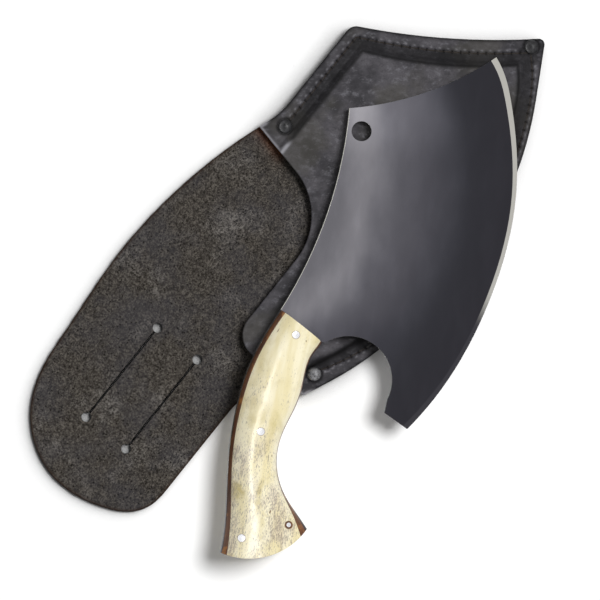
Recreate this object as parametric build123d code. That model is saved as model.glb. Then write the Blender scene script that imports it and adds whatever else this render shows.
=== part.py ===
from build123d import *
import math
import os

# A broad chopping knife with bone scales, lying on its own leather pouch sheath.
# Millimetres, +Z up.  Two drawings are used.  The knife's has its origin in the middle of the line
# where the handle starts, +X towards the point and +Y towards the spine.  The sheath's has its origin
# midway between the four ends of the belt slits, +X along the slits towards the pouch.

# ---- blade --------------------------------------------------------------------------------------
blade_thickness = 4.5
edge_thickness = 2.0          # what the grind leaves behind the cutting bevel at the belly
bevel_width = 2.0             # cutting bevel at the belly, across the blade's face
bevel_land = 0.25             # flat left at the very edge
notch_start_angle = -78.0     # where the notch's arc meets the horn
notch_end_angle = 70.0        # where it meets the neck
root_length = 12.0            # square root of the plate inside the front of the handle
easing = 0.35                 # small chamfer that takes the sharpness off the spine and the hole
neck_width = 25.4             # blade at the front of the handle
blade_length = 175.7          # front of the handle to the point
point_height = 8.3            # point, above the neck's middle
corner_reach = 105.8          # front of the handle to the spine's upper corner
corner_height = 52.1
top_hollow = 5.4              # how far the concave top edge dips below its chord
belly_depth = 78.5            # deepest place of the cutting edge, below the neck's middle
horn_reach = 7.5              # horn's tip, back past the front of the handle
horn_width = 14.8             # straight end of the horn
horn_rise = 1.0               # horn's tip, above the deepest place of the edge
horn_lean = 0.8               # how much further back the horn's end stands at its top
notch_radius = 23.0           # finger notch between handle and horn
notch_back = 6.5              # notch centre, back from the front of the handle
notch_drop = 24.3             # notch centre, below the neck's lower side
neck_rise = 1.3               # spine at the neck, beyond the grip's half width
neck_drop = 0.9               # belly side at the neck, beyond it too
spine_sag = 6.8               # spine's middle, below the straight line from neck to corner
hang_hole_radius = 5.3
hang_hole_inset_x = 5.5       # hanging hole, back from the spine's corner
hang_hole_inset_y = 12.6      # hanging hole, down from the spine's corner

# ---- handle -------------------------------------------------------------------------------------
liner_thickness = 3.2
scale_rise_front = 5.6        # bone above the liner, at the front end
scale_rise = 7.4              # bone above the liner, over the grip
pin_radius = 2.0
core_pin_radius = 1.2         # thinner pin in the heel, inside a dark collar
butt_bulge = 8.6              # how far the butt's arc stands out from its chord

# ---- sheath -------------------------------------------------------------------------------------
back_leather = 3.2
welt_leather = 3.0
front_leather = 3.0
blade_room = 1.1              # pouch height beyond the blade's thickness
side_room = 1.0               # pouch wall, out from the blade's outline
edge_room = 0.6               # ceiling above the thin cutting edge
edge_tuck = 2.0               # how far the full-height roof keeps inside the cutting edge
heel_pinch = 3.8              # how much closer the formed front comes in at the horn
top_bow = 3.5                 # hollow of the pouch's top wall
slope_run = 2.6               # sloping side of the formed front, in plan
flange = 14.2                 # pouch edge, out from the blade's outline
flange_edge = 11.4            # the same along the cutting edge
flange_heel = 13.0            # the same at the horn
flange_point = 16.5           # the same at the point
corner_slack = 3.0            # room that the pouch's corner leaves beyond the spine's corner
corner_round = 6.0            # rounding of the pouch's outer corner by the spine
tip_round = 3.0               # rounding of its corner by the blade's point
stitch_out = 8.1              # stitch line, out from the blade's outline
stitch_out_heel = 3.5         # the same at the horn
mouth_reach = 138.8           # mouth at the spine side, from the middle of the slits
mouth_lean = 12.2             # how far that side of the mouth leans towards the pouch, degrees
mouth_step = 21.2             # mouth's long edge, below the middle of the slits
mouth_sweep = 37.0            # curve between those two sides
lobe_reach = 50.4             # mouth at the horn side, from the middle of the slits
lobe_round = 13.0
mouth_run = 60.0              # how far the pouch's room is drawn on past the lobe
horn_run = 40.0               # how far it is drawn on past the horn
tongue_end = 67.0             # end of the belt tongue, back from the middle of the slits
tongue_spine_side = 54.0
tongue_belly_side = 43.9
tongue_root = 28.0            # tongue's drawing ends inside the pouch, past the mouth
tongue_rise = 4.5             # tongue's edge stands out here from the pouch's spine edge
flare_back = 30.0             # where the tongue's straight belly side turns into the lobe
flare_drop = 7.0
slit_length = 60.5            # between the centres of its end holes
slit_spacing = 27.0
slit_width = 0.8
slit_hole_radius = 2.6
thread_width = 0.8
thread_depth = 0.5            # groove that the thread lies in
thread_height = 0.8
rivet_head_radius = 3.75
rivet_head_height = 1.3
rivet_head_bevel = 0.6
rivet_dimple_radius = 1.4
rivet_dimple_depth = 0.3
rivet_shank_radius = 1.6
rivet_fit = 0.05              # hole beyond the shank
rivet_back_height = 1.0
rivet_mouth_back = 11.0       # upper mouth rivet, from the mouth's leaning edge
rivet_mouth_out = 8.0         # upper mouth rivet, out from the spine's corner
rivet_point_out = 13.4        # point rivet, beyond the blade's point
rivet_heel_out = 5.3          # horn rivet, out from the cutting edge
rivet_heel_back = 12.0        # horn rivet, from the horn's tip along the edge

# ---- how the two lie together -------------------------------------------------------------------
sheathed_x = 91.2             # knife's origin when it is in the pouch
sheathed_y = 12.0
sheathed_turn = -22.7
lying_x = 78.5                # knife's origin as it lies on the sheath
lying_y = -45.4
rest_gap = 0.3
near_point_inset = 4.0        # the blade bears this far back from its point

# ---- levels -------------------------------------------------------------------------------------
half_blade = blade_thickness / 2
half_edge = edge_thickness / 2
liner_face = half_blade + liner_thickness
pouch_height = blade_thickness + blade_room
welt_top = back_leather + welt_leather
flange_top = welt_top + front_leather
pouch_roof = back_leather + pouch_height
front_top = pouch_roof + front_leather
tall = 4 * front_top          # any cutter that must pass right through


# ---- points of the knife's outline --------------------------------------------------------------
half_neck = neck_width / 2
neck_spine = (0.0, half_neck + neck_rise)
neck_belly = (0.0, -half_neck - neck_drop)
spine_corner = (corner_reach, corner_height)
blade_point = (blade_length, point_height)
horn_tip = (-horn_reach, -belly_depth + horn_rise)
horn_heel = (-horn_reach - horn_lean, -belly_depth + horn_rise + horn_width)
notch_centre = (-notch_back, -half_neck - notch_drop)
edge_points = [
    (0.972 * blade_length, -0.02 * belly_depth),
    (0.92 * blade_length, -0.166 * belly_depth),
    (0.712 * blade_length, -0.578 * belly_depth),
    (0.422 * blade_length, -0.875 * belly_depth),
    (0.111 * blade_length, -belly_depth),
]


def chord_middle(start, end, bulge):
    """The middle of an arc from start to end; a positive bulge lies to the left of that way."""
    dx, dy = end[0] - start[0], end[1] - start[1]
    length = math.hypot(dx, dy)
    middle_x = (start[0] + end[0]) / 2 - bulge * dy / length
    middle_y = (start[1] + end[1]) / 2 + bulge * dx / length
    return (middle_x, middle_y)


spine_middle = chord_middle(neck_spine, spine_corner, -spine_sag)


def on_notch(angle):
    """A point of the finger notch's circle."""
    turn = math.radians(angle)
    return (
        notch_centre[0] + notch_radius * math.cos(turn),
        notch_centre[1] + notch_radius * math.sin(turn),
    )


def flat(*curves):
    """The flat face that these curves enclose."""
    edges = [edge for curve in curves for edge in curve.edges()]
    return make_face(edges)


def upright(face, low, high):
    """A flat face at level 0, extruded between two levels."""
    return extrude(Pos(0, 0, low) * face, high - low, dir=(0, 0, 1))


def slab(low, high):
    """Everything between two levels, larger than the knife."""
    wide = 4 * blade_length
    return Pos(0, 0, (low + high) / 2) * Box(wide, wide, high - low)


# ---- the handle's ground form -------------------------------------------------------------------
# Each station: a point on the spine side, its partner on the belly side, the bone's rise there,
# and the exponent of the oval on the belly side, where the heel is ground down to show its liner.
belly_full = 2.7
grip_stations = [
    ((0.0, neck_spine[1]), (0.0, neck_belly[1]), scale_rise_front, belly_full),
    ((-9.0, 13.2), (-7.0, -13.9), 0.8 * scale_rise_front + 0.2 * scale_rise, belly_full),
    ((-21.5, 11.4), (-15.2, -15.8), 0.4 * scale_rise_front + 0.6 * scale_rise, belly_full),
    ((-43.5, 5.3), (-32.5, -23.4), scale_rise, belly_full),
    ((-65.5, -5.3), (-51.5, -27.9), scale_rise, belly_full),
    ((-88.1, -20.1), (-70.6, -41.3), scale_rise, 2.5),
    ((-107.0, -33.6), (-77.6, -56.0), scale_rise, 2.0),
    ((-120.0, -41.0), (-81.6, -69.0), scale_rise, 1.5),
    ((-131.5, -47.5), (-84.8, -81.0), scale_rise, 1.35),
]
butt_spine, butt_belly = grip_stations[-2][0], grip_stations[-2][1]
spine_roundness = 1.6         # exponent of the oval on the spine side, rounder than the belly's


def grip_section(spine_side, belly_side, rise, belly_roundness):
    """A closed oval standing across the grip; fuller towards the belly than towards the spine."""
    across_x, across_y = spine_side[0] - belly_side[0], spine_side[1] - belly_side[1]
    width = math.hypot(across_x, across_y)
    middle = ((spine_side[0] + belly_side[0]) / 2, (spine_side[1] + belly_side[1]) / 2)
    plane = Plane(
        origin=(middle[0], middle[1], 0),
        x_dir=(across_x / width, across_y / width, 0),
        z_dir=(across_y / width, -across_x / width, 0),
    )
    points = []
    for step in range(24):
        angle = math.radians(15 * step)
        side, up = math.cos(angle), math.sin(angle)
        power = 2 / (spine_roundness if side > 0 else belly_roundness)
        across = math.copysign(abs(side) ** power, side) * width / 2
        height = math.copysign(abs(up) ** power, up) * (liner_face + rise)
        points.append((across, height))
    oval = plane * Spline(*points, periodic=True)
    return Face(Wire([oval]))


def grip_form():
    """Both halves of the handle and the tang between them, as one ground shape."""
    form = loft([grip_section(*station) for station in grip_stations])
    butt_middle = chord_middle(butt_spine, butt_belly, -butt_bulge)
    wide = 2 * blade_length
    kept = flat(
        ThreePointArc(butt_spine, butt_middle, butt_belly),
        Polyline(butt_belly, (wide, butt_belly[1]), (wide, wide), (butt_spine[0], wide), butt_spine),
    )
    return form & upright(kept, -tall, tall)


# ---- blade --------------------------------------------------------------------------------------
def blade_outline():
    notch_start = on_notch(notch_start_angle)
    notch_end = on_notch(notch_end_angle)
    root = -root_length
    tongue = half_neck / 2
    return flat(
        Spline(neck_spine, spine_middle, spine_corner),
        ThreePointArc(spine_corner, chord_middle(spine_corner, blade_point, -top_hollow), blade_point),
        Spline(blade_point, *edge_points, horn_tip),
        Polyline(horn_tip, horn_heel, notch_start),
        ThreePointArc(notch_start, on_notch(0), notch_end),
        Polyline(notch_end, neck_belly, (0, -tongue), (root, -tongue), (root, tongue), (0, tongue),
                 neck_spine),
    )


spine_angle = math.atan2(spine_corner[1] - neck_spine[1], spine_corner[0] - neck_spine[0])


def below_grind_line(point):
    """How far a point lies from the line where the grind starts, towards the cutting edge."""
    across_x = (point[0] - neck_belly[0]) * math.sin(spine_angle)
    across_y = (point[1] - neck_belly[1]) * math.cos(spine_angle)
    return across_x - across_y


belly_middle = edge_points[3]
grind_slope = (half_blade - half_edge) / below_grind_line(belly_middle)


def grind_wedge():
    """What the grinder takes off the upper face, from a line along the spine down to the edge."""
    hinge = Location((*neck_belly, half_blade), (0, 0, math.degrees(spine_angle)))
    size = 3 * blade_length
    tilt = Rot(math.degrees(math.atan(grind_slope)), 0, 0)
    return hinge * tilt * Pos(0, 0, size / 2) * Box(size, size, size)


def on_edges(solid, places):
    """The solid's edges that pass nearest to these places."""
    return [solid.edges().sort_by_distance(place)[0] for place in places]


def make_blade(form):
    plate = upright(blade_outline(), -half_blade, half_blade)
    faces = (half_blade, -half_blade)
    plate = chamfer(on_edges(plate, [(*spine_middle, level) for level in faces]), easing)
    slope = (half_edge - bevel_land / 2) / bevel_width
    bevel_height = half_blade - bevel_land / 2
    edge_side = plate.faces().sort_by_distance((*belly_middle, 0))[0]
    rims = on_edges(plate, [(*belly_middle, level) for level in faces])
    beveled = chamfer(rims, bevel_height, bevel_height / slope, reference=edge_side)
    wedge = grind_wedge()
    ground = beveled - wedge - mirror(wedge, about=Plane.XY)
    hang_hole = Pos(corner_reach - hang_hole_inset_x, corner_height - hang_hole_inset_y, 0)
    hang_hole = hang_hole * Cylinder(hang_hole_radius, tall)
    tang = form & slab(-half_blade, half_blade)
    return ground + tang - hang_hole


# ---- handle -------------------------------------------------------------------------------------
pin_places = {
    "pin_front": (-5.9, -0.6),
    "pin_middle": (-57.3, -18.0),
    "pin_butt": (-107.3, -45.0),
    "pin_heel": (-86.3, -60.1),
}


def make_handle(form):
    """Pins, bone scales and liners, all ground to one shape with the tang."""
    pieces = {}
    layers = {
        "liner": (half_blade, liner_face),
        "scale": (liner_face, tall),
    }
    holes = [Pos(*place, 0) * Cylinder(pin_radius, 2 * tall) for place in pin_places.values()]
    for layer, (inner, outer) in layers.items():
        pieces[layer + "_upper"] = (form & slab(inner, outer)) - holes
        pieces[layer + "_lower"] = (form & slab(-outer, -inner)) - holes
    for name, place in pin_places.items():
        pieces[name] = form & (Pos(*place, 0) * Cylinder(pin_radius, 2 * tall))
    core = Pos(*pin_places["pin_heel"], 0) * Cylinder(core_pin_radius, 2 * tall)
    pieces["pin_heel_collar"] = pieces["pin_heel"] - core
    pieces["pin_heel"] = pieces["pin_heel"] & core
    return pieces, holes


# ---- the pouch's outline, drawn round the sheathed blade ----------------------------------------
def sheathed(point):
    """A point of the knife's outline, in the sheath's drawing, when the knife is in its pouch."""
    turn = math.radians(sheathed_turn)
    return (
        sheathed_x + point[0] * math.cos(turn) - point[1] * math.sin(turn),
        sheathed_y + point[0] * math.sin(turn) + point[1] * math.cos(turn),
    )


def left_of(start, end):
    """A unit step to the left of the way from start to end."""
    dx, dy = end[0] - start[0], end[1] - start[1]
    length = math.hypot(dx, dy)
    return (-dy / length, dx / length)


def moved(point, step, distance):
    return (point[0] + step[0] * distance, point[1] + step[1] * distance)


def mitred(before, corner, after, distance):
    """The corner of two straight sides that both move out to the left by a distance."""
    first, second = left_of(before, corner), left_of(corner, after)
    spread = 1 + first[0] * second[0] + first[1] * second[1]
    return moved(corner, (first[0] + second[0], first[1] + second[1]), distance / spread)


cavity_corner = moved(sheathed(spine_corner), (1, 0), corner_slack)
cavity_point = sheathed(blade_point)
cavity_start = (lobe_reach - mouth_run, cavity_corner[1])
cavity_edge = [sheathed(place) for place in edge_points]
cavity_horn = sheathed(horn_tip)
cavity_end = sheathed((horn_tip[0] - horn_run, horn_tip[1]))


def round_blade(side, edge=None, heel=None, point=None):
    """
    The face inside a line that runs round the sheathed blade at these distances: along the spine
    and top, along the cutting edge, at the horn and at the point.  It stays open past the mouth.
    """
    edge = side if edge is None else edge
    heel = edge if heel is None else heel
    point = side if point is None else point
    start = (cavity_start[0], cavity_start[1] + side)
    corner = mitred(cavity_start, cavity_corner, cavity_point, side)
    tip = mitred(cavity_corner, cavity_point, cavity_edge[0], point)
    stops = [cavity_point, *cavity_edge, cavity_horn, cavity_end]
    distances = [edge] * (len(edge_points) - 1) + [(edge + heel) / 2, heel]
    curve = [
        moved(stops[i + 1], left_of(stops[i], stops[i + 2]), distances[i])
        for i in range(len(distances))
    ]
    end = moved(cavity_end, left_of(cavity_horn, cavity_end), heel)
    return flat(
        Line(start, corner),
        ThreePointArc(corner, chord_middle(corner, tip, -top_bow), tip),
        Spline(tip, *curve, end),
        Line(end, start),
    )


def mouth_mask():
    """Everything on the pouch's side of the mouth's edge."""
    lean = math.tan(math.radians(mouth_lean))
    far = 2 * (mouth_reach + blade_length)
    mask = flat(
        Polyline(
            (mouth_reach + far * lean, far), (mouth_reach - mouth_step * lean, -mouth_step),
            (lobe_reach, -mouth_step), (lobe_reach, -far), (far, -far),
            (far, far), (mouth_reach + far * lean, far),
        )
    )
    inner = mask.vertices().sort_by_distance((mouth_reach, -mouth_step, 0))[0]
    mask = fillet(inner, mouth_sweep)
    lobe = mask.vertices().sort_by_distance((lobe_reach, -mouth_step, 0))[0]
    return fillet(lobe, lobe_round)


def tongue_face():
    """The belt tongue, from inside the pouch's edge round its free end and back."""
    edge_height = cavity_corner[1] + flange
    flare = cavity_horn[1] - 0.8 * flange
    spine_side = Spline(
        (mouth_reach + tongue_root, edge_height),
        (mouth_reach + 0.3 * tongue_root, edge_height + tongue_rise),
        (0.74 * mouth_reach, 0.92 * tongue_spine_side),
        (0.28 * mouth_reach, tongue_spine_side),
        (0.0, 0.94 * tongue_spine_side),
        (-0.32 * tongue_end, 0.9 * tongue_spine_side),
        (-0.71 * tongue_end, 0.7 * tongue_spine_side),
        (-0.985 * tongue_end, 0.15 * tongue_spine_side),
        (-0.93 * tongue_end, -0.52 * tongue_belly_side),
        (-0.54 * tongue_end, -tongue_belly_side),
        tangents=[(-1, 0), (1, 0)],
    )
    flare_curve = Spline(
        (lobe_reach - flare_back, -tongue_belly_side),
        (lobe_reach - 0.47 * flare_back, -tongue_belly_side - flare_drop),
        (lobe_reach + 0.2 * flare_back, flare),
        tangents=[(1, 0), (0.6, -1)],
    )
    return flat(
        spine_side,
        Line((-0.54 * tongue_end, -tongue_belly_side), (lobe_reach - flare_back, -tongue_belly_side)),
        flare_curve,
        Polyline(
            (lobe_reach + 0.2 * flare_back, flare),
            (mouth_reach + tongue_root, 0),
            (mouth_reach + tongue_root, edge_height),
        ),
    )


# ---- sheath pieces ------------------------------------------------------------------------------
def sheath_faces():
    """Flat patterns of the back, of the front and welt together, and of the pouch's room."""
    pouch = round_blade(flange, edge=flange_edge, heel=flange_heel, point=flange_point)
    for corner, radius in ((cavity_corner, corner_round), (cavity_point, tip_round)):
        sharp = pouch.vertices().sort_by_distance((*corner, 0))[0]
        pouch = fillet(sharp, radius)
    wide = 4 * blade_length
    pouch = pouch & (Pos(lobe_reach + wide / 2, 0) * Rectangle(wide, wide))
    back = pouch + tongue_face()
    front = back & mouth_mask()
    return back, front


def rivet_places():
    lean = math.tan(math.radians(mouth_lean))
    spine_height = cavity_corner[1] + rivet_mouth_out
    out = left_of(cavity_edge[-1], cavity_horn)
    along = (-out[1], out[0])
    return {
        "mouth": (mouth_reach + spine_height * lean + rivet_mouth_back, spine_height),
        "point": (cavity_point[0] + rivet_point_out, cavity_point[1]),
        "horn": moved(moved(cavity_horn, out, rivet_heel_out), along, rivet_heel_back),
    }


def stitch_band(rivets):
    """The narrow band that the thread covers, from rivet to rivet round the pouch."""
    half = thread_width / 2
    outer = round_blade(stitch_out + half, heel=stitch_out_heel + half)
    inner = round_blade(stitch_out - half, heel=stitch_out_heel - half)
    band = outer - inner
    start = rivets["mouth"][0]
    wide = 4 * blade_length
    band = band & (Pos(lobe_reach + wide / 2, 0) * Rectangle(wide, wide))
    before_mouth = Pos(start - wide / 2, wide / 2 - mouth_step) * Rectangle(wide, wide)
    before_horn = Pos(rivets["horn"][0] - wide / 2, 0) * Rectangle(wide, wide)
    band = band - before_mouth - before_horn
    for place in rivets.values():
        band = band - Pos(*place) * Circle(rivet_head_radius)
    return band


def make_sheath():
    back, front = sheath_faces()
    rivets = rivet_places()
    band = stitch_band(rivets)

    slits = []
    for side in (1, -1):
        middle = Pos(0, side * slit_spacing / 2, back_leather / 2)
        slits.append(middle * Box(slit_length, slit_width, tall))
        for end in (1, -1):
            hole = Pos(end * slit_length / 2, 0, 0) * Cylinder(slit_hole_radius, tall)
            slits.append(middle * hole)

    shank_holes = [
        Pos(*place) * Cylinder(rivet_shank_radius + rivet_fit, tall) for place in rivets.values()
    ]
    cap_seats = [
        Pos(*place) * Cylinder(rivet_head_radius, 2 * rivet_back_height) for place in rivets.values()
    ]

    base = side_room + front_leather
    shoulder = base - slope_run
    formed = loft([
        Pos(0, 0, flange_top) * round_blade(base, heel=base - heel_pinch),
        Pos(0, 0, front_top) * round_blade(shoulder, heel=shoulder - heel_pinch),
    ])
    room = round_blade(side_room)
    roof_edge = side_room - edge_tuck
    high_room = round_blade(side_room, edge=roof_edge, heel=roof_edge - heel_pinch, point=side_room / 2)
    ceiling = back_leather + rest_gap + half_blade + half_edge + edge_room
    cavity = upright(room, back_leather, ceiling) + upright(high_room, ceiling, pouch_roof)

    front_sheet = upright(front, welt_top, flange_top)
    front_bulge = formed & upright(front, flange_top, front_top)

    front_groove = upright(band, flange_top - thread_depth, flange_top)
    back_groove = upright(band, 0, thread_depth)

    pieces = {
        "back_panel": upright(back, 0, back_leather) - slits - shank_holes - cap_seats - back_groove,
        "welt": upright(front - room, back_leather, welt_top) - shank_holes,
        "front_panel": front_sheet + front_bulge - cavity - shank_holes - front_groove,
        "stitching_front": upright(
            band, flange_top - thread_depth, flange_top - thread_depth + thread_height
        ),
        "stitching_back": back_groove,
    }
    for name, place in rivets.items():
        back_cap = Pos(*place, rivet_back_height / 2) * Cylinder(rivet_head_radius, rivet_back_height)
        shank = Pos(*place, flange_top / 2) * Cylinder(rivet_shank_radius, flange_top)
        head = Pos(0, 0, rivet_head_height / 2) * Cylinder(rivet_head_radius, rivet_head_height)
        head = chamfer(head.edges().group_by(Axis.Z)[-1], rivet_head_bevel)
        dimple = Pos(0, 0, rivet_head_height) * Cylinder(rivet_dimple_radius, 2 * rivet_dimple_depth)
        pieces["rivet_post_" + name] = back_cap + shank
        pieces["rivet_cap_" + name] = Pos(*place, flange_top) * (head - dimple)
    return pieces


# ---- the whole ----------------------------------------------------------------------------------
def make_knife():
    form = grip_form()
    handle, pin_holes = make_handle(form)
    return {"blade": make_blade(form) - pin_holes, **handle}


def lying_place():
    """The knife rests on the mouth's lip under the grip and on the formed front under its point."""
    lip = lobe_reach - lying_x
    near_point = blade_length - near_point_inset
    far_half = half_blade - grind_slope * below_grind_line((near_point, point_height))
    grip_depth = liner_face + scale_rise
    tilt = math.atan2(grip_depth - far_half, near_point - lip)
    height = front_top + rest_gap + grip_depth + math.tan(tilt) * lip
    return Location((lying_x, lying_y, height), (0, math.degrees(tilt), 0))


def make_all():
    sheath = make_sheath()
    place = lying_place()
    knife = {name: place * shape for name, shape in make_knife().items()}
    pieces = {**sheath, **knife}
    boxes = [shape.bounding_box() for shape in pieces.values()]
    middle_x = (min(box.min.X for box in boxes) + max(box.max.X for box in boxes)) / 2
    middle_y = (min(box.min.Y for box in boxes) + max(box.max.Y for box in boxes)) / 2
    origin = Pos(-middle_x, -middle_y, -min(box.min.Z for box in boxes))
    return {name: origin * shape for name, shape in pieces.items()}


os.makedirs("parts", exist_ok=True)
for node, shape in make_all().items():
    export_step(shape, f"parts/{node}.step")
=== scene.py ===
import math
import bpy
import bmesh
import numpy as np
from mathutils import Matrix, Vector


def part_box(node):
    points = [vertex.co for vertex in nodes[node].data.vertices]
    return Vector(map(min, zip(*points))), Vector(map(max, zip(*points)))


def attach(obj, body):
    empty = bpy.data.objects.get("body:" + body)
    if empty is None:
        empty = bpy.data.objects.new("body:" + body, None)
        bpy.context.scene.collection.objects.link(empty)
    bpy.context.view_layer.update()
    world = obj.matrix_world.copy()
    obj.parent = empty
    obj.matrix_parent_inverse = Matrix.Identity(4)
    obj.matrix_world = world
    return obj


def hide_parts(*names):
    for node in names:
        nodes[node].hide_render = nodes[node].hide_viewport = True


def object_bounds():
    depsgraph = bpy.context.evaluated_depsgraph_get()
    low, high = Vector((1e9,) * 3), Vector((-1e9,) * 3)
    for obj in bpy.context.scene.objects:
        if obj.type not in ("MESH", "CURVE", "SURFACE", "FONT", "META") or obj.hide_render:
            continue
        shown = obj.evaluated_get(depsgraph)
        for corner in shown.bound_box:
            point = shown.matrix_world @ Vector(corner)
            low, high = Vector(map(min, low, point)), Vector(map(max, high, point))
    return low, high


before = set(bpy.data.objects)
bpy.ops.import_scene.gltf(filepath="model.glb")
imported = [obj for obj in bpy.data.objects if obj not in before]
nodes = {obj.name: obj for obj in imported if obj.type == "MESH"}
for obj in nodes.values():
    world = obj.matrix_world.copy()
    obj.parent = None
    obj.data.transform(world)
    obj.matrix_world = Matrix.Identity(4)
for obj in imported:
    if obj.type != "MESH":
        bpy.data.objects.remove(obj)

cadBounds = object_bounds()
mm = 0.001
blockSize = 20000         # points measured at a time, which keeps memory small


# small helpers for pieces

def tint(red, green, blue):   # a screen colour, 0 to 255, in the shader's own numbers
    def part(value):
        value = value / 255
        return value / 12.92 if value <= 0.04045 else ((value + 0.055) / 1.055) ** 2.4
    return (part(red), part(green), part(blue), 1.0)


def middleOf(nodeName):
    low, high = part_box(nodeName)
    return (Vector(low) + Vector(high)) / 2


def bottomOf(nodeName):
    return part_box(nodeName)[0][2]


def topOf(nodeName):
    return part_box(nodeName)[1][2]


def addObject(name, data):
    made = bpy.data.objects.new(name, data)
    bpy.context.scene.collection.objects.link(made)
    return made


def objectFrom(shape, name):   # a built shape as an object, with all its faces turned outwards
    bmesh.ops.recalc_face_normals(shape, faces=shape.faces)
    mesh = bpy.data.meshes.new(name)
    shape.to_mesh(mesh)
    shape.free()
    return addObject(name, mesh)


def solidShape(nodeName):   # a solid's surface, its points welded
    shape = bmesh.new()
    shape.from_mesh(nodes[nodeName].data)
    bmesh.ops.remove_doubles(shape, verts=shape.verts, dist=0.002 * mm)
    return shape


def bakeModifiers(piece):   # the shape with its modifiers becomes the mesh itself
    view = bpy.context.evaluated_depsgraph_get()
    view.update()
    mesh = bpy.data.meshes.new_from_object(piece.evaluated_get(view))
    piece.modifiers.clear()
    piece.data = mesh


def finishPiece(piece, body, material, standsFor):   # its finish, its node and its body
    mesh = piece.data
    mesh.materials.clear()
    mesh.materials.append(material)
    mesh.polygons.foreach_set("use_smooth", [True] * len(mesh.polygons))
    mesh.polygons.foreach_set("material_index", [0] * len(mesh.polygons))
    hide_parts(standsFor)
    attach(piece, body)


def voxelSkin(piece, voxel, smoothing):   # an even fine skin with softly worn edges
    remesh = piece.modifiers.new("skin", "REMESH")
    remesh.mode = "VOXEL"
    remesh.voxel_size = voxel
    soften = piece.modifiers.new("soften", "SMOOTH")
    soften.factor = 0.5
    soften.iterations = smoothing
    bakeModifiers(piece)


def joinRings(shape, one, two):   # a band of faces between two rings of points
    for step in range(len(one)):
        after = (step + 1) % len(one)
        shape.faces.new((one[step], one[after], two[after], two[step]))


def readPoints(mesh):
    points = np.empty(len(mesh.vertices) * 3)
    mesh.vertices.foreach_get("co", points)
    return points.reshape(-1, 3)


def writePoints(mesh, points):
    mesh.vertices.foreach_set("co", points.ravel())
    mesh.update()


def distanceTo(nodeName, points):   # in plan, from the middle of a node
    return np.linalg.norm(points[:, :2] - np.array(middleOf(nodeName))[:2], axis=1)


def paint(mesh, name, values):   # one number for each point, which a material reads
    layer = mesh.attributes.new(name, "FLOAT", "POINT")
    layer.data.foreach_set("value", np.asarray(values, dtype=np.float32))


def loopsAt(nodeName, level):   # outlines of a solid's flat faces at a level, the longest first
    shape = solidShape(nodeName)
    flat = {f for f in shape.faces if all(abs(v.co.z - level) < 0.01 * mm for v in f.verts)}
    follow = {}
    for face in flat:
        for corner in face.loops:
            if not any(other in flat for other in corner.edge.link_faces if other != face):
                follow.setdefault(corner.vert, []).append(corner.link_loop_next.vert)
    loops = []
    while follow:
        start = next(iter(follow))
        loop, here = [], start
        while here in follow:
            loop.append(here.co.copy())
            here, used = follow[here].pop(), here
            if not follow[used]:
                del follow[used]
        loops.append(np.array([tuple(p) for p in loop]))
    shape.free()
    loops.sort(key=lambda loop: -np.linalg.norm(loop - np.roll(loop, 1, axis=0), axis=1).sum())
    return loops


def lengthOf(line):
    return np.linalg.norm(np.diff(line, axis=0), axis=1).sum()


def evenly(line, count):   # the same line with evenly spaced points
    reach = np.concatenate([[0], np.cumsum(np.linalg.norm(np.diff(line, axis=0), axis=1))])
    wanted = np.linspace(0, reach[-1], count)
    return np.stack([np.interp(wanted, reach, line[:, axis]) for axis in range(3)], axis=1)


def hill(distance, width, power=2):   # 1 where the distance is nothing, falling away past the width
    return np.exp(-(distance / width) ** power)


def nearestOn(line, points, closed=False):   # distance to a line, how far along it, and which side
    starts = line if closed else line[:-1]
    ends = np.roll(line, -1, axis=0) if closed else line[1:]
    starts, ends = starts[:, :2], ends[:, :2]
    step = ends - starts
    lengths = np.linalg.norm(step, axis=1) + 1e-12
    before = np.concatenate([[0], np.cumsum(lengths)[:-1]])
    best, along, side = (np.zeros(len(points)) for _ in range(3))
    for first in range(0, len(points), blockSize):
        block = slice(first, first + blockSize)
        here = points[block, None, :2] - starts[None]
        share = np.clip((here * step).sum(-1) / lengths ** 2, 0, 1)
        gap = here - share[..., None] * step
        distance = np.linalg.norm(gap, axis=-1)
        pick = distance.argmin(axis=1)
        rows = np.arange(len(pick))
        best[block] = distance[rows, pick]
        along[block] = before[pick] + share[rows, pick] * lengths[pick]
        cross = step[pick, 0] * here[rows, pick, 1] - step[pick, 1] * here[rows, pick, 0]
        side[block] = np.sign(cross)
    return best, along, side


# small helpers for materials

def newMaterial(name, metallic=0.0, roughness=0.5, specular=0.5, coat=0.0, coatRoughness=0.1):
    material = bpy.data.materials.new(name)
    material.use_nodes = True
    shader = material.node_tree.nodes["Principled BSDF"]
    shader.inputs["Metallic"].default_value = metallic
    shader.inputs["Roughness"].default_value = roughness
    shader.inputs["Specular IOR Level"].default_value = specular
    shader.inputs["Coat Weight"].default_value = coat
    shader.inputs["Coat Roughness"].default_value = coatRoughness
    return material, material.node_tree, shader


def put(tree, kind, inputs=None, **settings):
    made = tree.nodes.new("ShaderNode" + kind)
    for name, value in settings.items():
        setattr(made, name, value)
    for name, value in (inputs or {}).items():
        if isinstance(value, bpy.types.NodeSocket):
            tree.links.new(value, made.inputs[name])
        else:
            made.inputs[name].default_value = value
    return made


def millimetres(tree, turn=0.0, stretch=(1, 1, 1), start=(0, 0, 0)):
    # the piece's own coordinates in millimetres, turned in plan, then stretched along the new axes
    own = put(tree, "TexCoord").outputs["Object"]
    size = tuple(mm * s for s in stretch)
    turned = put(tree, "Mapping", {
        "Vector": own, "Location": start, "Rotation": (0, 0, math.radians(turn)), "Scale": size,
    }, vector_type="TEXTURE")
    return turned.outputs["Vector"]


def grain(tree, scale, detail=4.0, roughness=0.55, distortion=0.0, **place):
    return put(tree, "TexNoise", {
        "Vector": millimetres(tree, **place), "Scale": scale, "Detail": detail,
        "Roughness": roughness, "Distortion": distortion,
    }).outputs["Fac"]


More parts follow.
